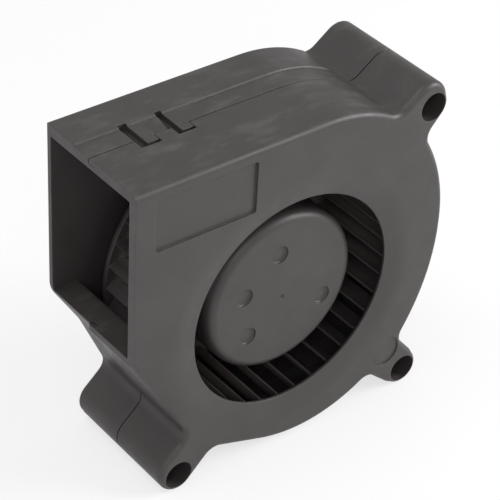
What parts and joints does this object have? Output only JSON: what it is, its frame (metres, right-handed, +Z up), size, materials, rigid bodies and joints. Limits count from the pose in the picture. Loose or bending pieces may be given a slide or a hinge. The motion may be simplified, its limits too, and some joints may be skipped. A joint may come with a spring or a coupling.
{
  "type": "dc blower fan",
  "caption": "Small centrifugal blower: snap-together snail housing with mounting ears, round inlet, side outlet and an impeller on a brushless outer-rotor motor.",
  "frame": {"origin": "on the rotor axis, in the plane of the rear mounting face", "axes": "+Z up as the fan stands in the picture, the rear face looks along +Y, the inlet faces -Y and the outlet faces -X"},
  "size_m": [0.0527, 0.02, 0.0522],
  "materials": {
    "black_plastic": "satin moulded plastic",
    "brass": "turned",
    "lamination": "punched sheet stack",
    "natural_nylon": "moulded",
    "tinned_pin": "tinned",
    "board": "solder mask",
    "chip": "moulded",
    "ceramic": "fired",
    "copper": "enamelled wire",
    "steel": "plain",
    "magnet": "bonded ferrite",
    "bearing_steel": "ground"
  },
  "bodies": {
    "housing": {"front_cover": "black_plastic", "rear_frame": "black_plastic", "bearing_tube": "brass", "rear_plug": "black_plastic", "stator_core": "lamination", "front_insulator": "natural_nylon", "rear_insulator": "natural_nylon", "coil_1": "copper", "coil_2": "copper", "coil_3": "copper", "coil_4": "copper", "circuit_board": "board", "hall_sensor": "chip", "driver_chip": "chip", "capacitors": "ceramic", "resistors": "chip", "diode": "chip", "terminal_pins": "tinned_pin", "front_bearing_outer_ring": "bearing_steel", "front_bearing_shields": "bearing_steel", "rear_bearing_outer_ring": "bearing_steel", "rear_bearing_shields": "bearing_steel"},
    "rotor": {"impeller": "black_plastic", "rotor_yoke": "steel", "magnet_ring": "magnet", "shaft": "steel", "shaft_bushing": "brass", "front_bearing_inner_ring": "bearing_steel", "rear_bearing_inner_ring": "bearing_steel", "preload_spring": "steel", "spacer_washer": "natural_nylon", "retaining_clip": "steel"},
    "front_cage": {"front_bearing_cage": "bearing_steel", "front_bearing_balls": "bearing_steel"},
    "rear_cage": {"rear_bearing_cage": "bearing_steel", "rear_bearing_balls": "bearing_steel"}
  },
  "joints": [
    {"name": "rotor_spin", "type": "hinge", "parent": "housing", "child": "rotor", "pos_m": [0, 0, 0], "axis": [0, -1, 0], "continuous": true},
    {"name": "front_cage_spin", "type": "hinge", "parent": "housing", "child": "front_cage", "pos_m": [0, 0, 0], "axis": [0, -1, 0], "continuous": true},
    {"name": "rear_cage_spin", "type": "hinge", "parent": "housing", "child": "rear_cage", "pos_m": [0, 0, 0], "axis": [0, -1, 0], "continuous": true}
  ],
  "couplings": [
    {"joint": "front_cage_spin", "follows": "rotor_spin", "ratio": 0.381},
    {"joint": "rear_cage_spin", "follows": "rotor_spin", "ratio": 0.381}
  ]
}
